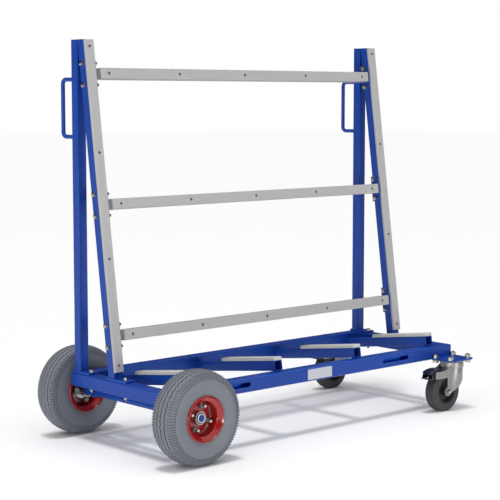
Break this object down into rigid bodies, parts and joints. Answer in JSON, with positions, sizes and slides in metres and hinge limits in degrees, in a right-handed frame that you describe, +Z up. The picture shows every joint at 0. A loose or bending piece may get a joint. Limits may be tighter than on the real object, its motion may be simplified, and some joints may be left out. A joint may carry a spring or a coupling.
{
  "type": "slab cart",
  "caption": "Slab cart with a low tube base, tilted support arms with pads, A-frames with rubber-faced bars, large tyred wheels and braked swivel casters.",
  "frame": {"origin": "on the floor under the middle of the cart", "axes": "+X along the cart to the caster end, +Y to the back with the handles, +Z up"},
  "size_m": [1.254, 0.6202, 1.142],
  "materials": {
    "blue_coat": "royal blue powder coat, satin",
    "strip_grey": "light grey rubber facing, matt",
    "bar_grey": "grey powder coat, satin",
    "screw_dark": "dark plated screws",
    "pad_grey": "pale grey rubber block, matt",
    "tyre_grey": "mid grey tyre",
    "rim_red": "red gloss paint",
    "zinc": "bright zinc plate",
    "bearing_steel": "ground steel",
    "caster_rubber": "dark grey elastic tread",
    "caster_plastic": "black moulded centre",
    "pedal_dark": "dark polished steel"
  },
  "bodies": {
    "frame": {"axle": "blue_coat", "axle_carriers": "blue_coat", "axle_retainers": "zinc", "bar_end_plates": "blue_coat", "bar_fasteners": "zinc", "caster_fasteners": "zinc", "caster_races": "zinc", "caster_top_plates": "blue_coat", "foot_fasteners": "zinc", "foot_plates": "blue_coat", "front_rail": "blue_coat", "left_end_beam": "blue_coat", "left_handle": "blue_coat", "left_lean_post": "blue_coat", "left_post_strip": "strip_grey", "left_upright_post": "blue_coat", "lower_bar": "bar_grey", "lower_bar_strip": "strip_grey", "middle_bar": "bar_grey", "middle_bar_strip": "strip_grey", "outrigger_plates": "blue_coat", "rear_rail": "blue_coat", "right_end_beam": "blue_coat", "right_handle": "blue_coat", "right_lean_post": "blue_coat", "right_post_strip": "strip_grey", "right_upright_post": "blue_coat", "strip_screws": "screw_dark", "support_arm_1": "blue_coat", "support_arm_2": "blue_coat", "support_arm_3": "blue_coat", "support_arm_4": "blue_coat", "support_pad_1": "pad_grey", "support_pad_2": "pad_grey", "support_pad_3": "pad_grey", "support_pad_4": "pad_grey", "top_bar": "bar_grey", "top_bar_strip": "strip_grey"},
    "front_wheel": {"front_tyre": "tyre_grey", "front_outer_rim": "rim_red", "front_inner_rim": "rim_red", "front_hub": "zinc", "front_hub_bearings": "bearing_steel", "front_rim_fasteners": "zinc"},
    "front_swivel": {"front_caster_fork": "zinc", "front_caster_axle": "zinc"},
    "front_caster_wheel": {"front_caster_tread": "caster_rubber", "front_caster_core": "caster_plastic"},
    "front_brake": {"front_brake_pedal": "pedal_dark"},
    "rear_wheel": {"rear_tyre": "tyre_grey", "rear_outer_rim": "rim_red", "rear_inner_rim": "rim_red", "rear_hub": "zinc", "rear_hub_bearings": "bearing_steel", "rear_rim_fasteners": "zinc"},
    "rear_swivel": {"rear_caster_fork": "zinc", "rear_caster_axle": "zinc"},
    "rear_caster_wheel": {"rear_caster_tread": "caster_rubber", "rear_caster_core": "caster_plastic"},
    "rear_brake": {"rear_brake_pedal": "pedal_dark"}
  },
  "joints": [
    {"name": "front_wheel_spin", "type": "hinge", "parent": "frame", "child": "front_wheel", "pos_m": [-0.497, -0.267, 0.13], "axis": [0, 1, 0], "continuous": true},
    {"name": "front_caster_swivel", "type": "hinge", "parent": "frame", "child": "front_swivel", "pos_m": [0.573, -0.248, 0.14], "axis": [0, 0, 1], "continuous": true},
    {"name": "front_caster_roll", "type": "hinge", "parent": "front_swivel", "child": "front_caster_wheel", "pos_m": [0.529, -0.248, 0.0625], "axis": [0, 1, 0], "continuous": true},
    {"name": "front_brake_press", "type": "hinge", "parent": "front_swivel", "child": "front_brake", "pos_m": [0.485, -0.248, 0.1195], "axis": [0, -1, 0], "range_deg": [0, 10]},
    {"name": "rear_wheel_spin", "type": "hinge", "parent": "frame", "child": "rear_wheel", "pos_m": [-0.497, 0.267, 0.13], "axis": [0, 1, 0], "continuous": true},
    {"name": "rear_caster_swivel", "type": "hinge", "parent": "frame", "child": "rear_swivel", "pos_m": [0.573, 0.248, 0.14], "axis": [0, 0, 1], "continuous": true},
    {"name": "rear_caster_roll", "type": "hinge", "parent": "rear_swivel", "child": "rear_caster_wheel", "pos_m": [0.529, 0.248, 0.0625], "axis": [0, 1, 0], "continuous": true},
    {"name": "rear_brake_press", "type": "hinge", "parent": "rear_swivel", "child": "rear_brake", "pos_m": [0.485, 0.248, 0.1195], "axis": [0, -1, 0], "range_deg": [0, 10]}
  ]
}
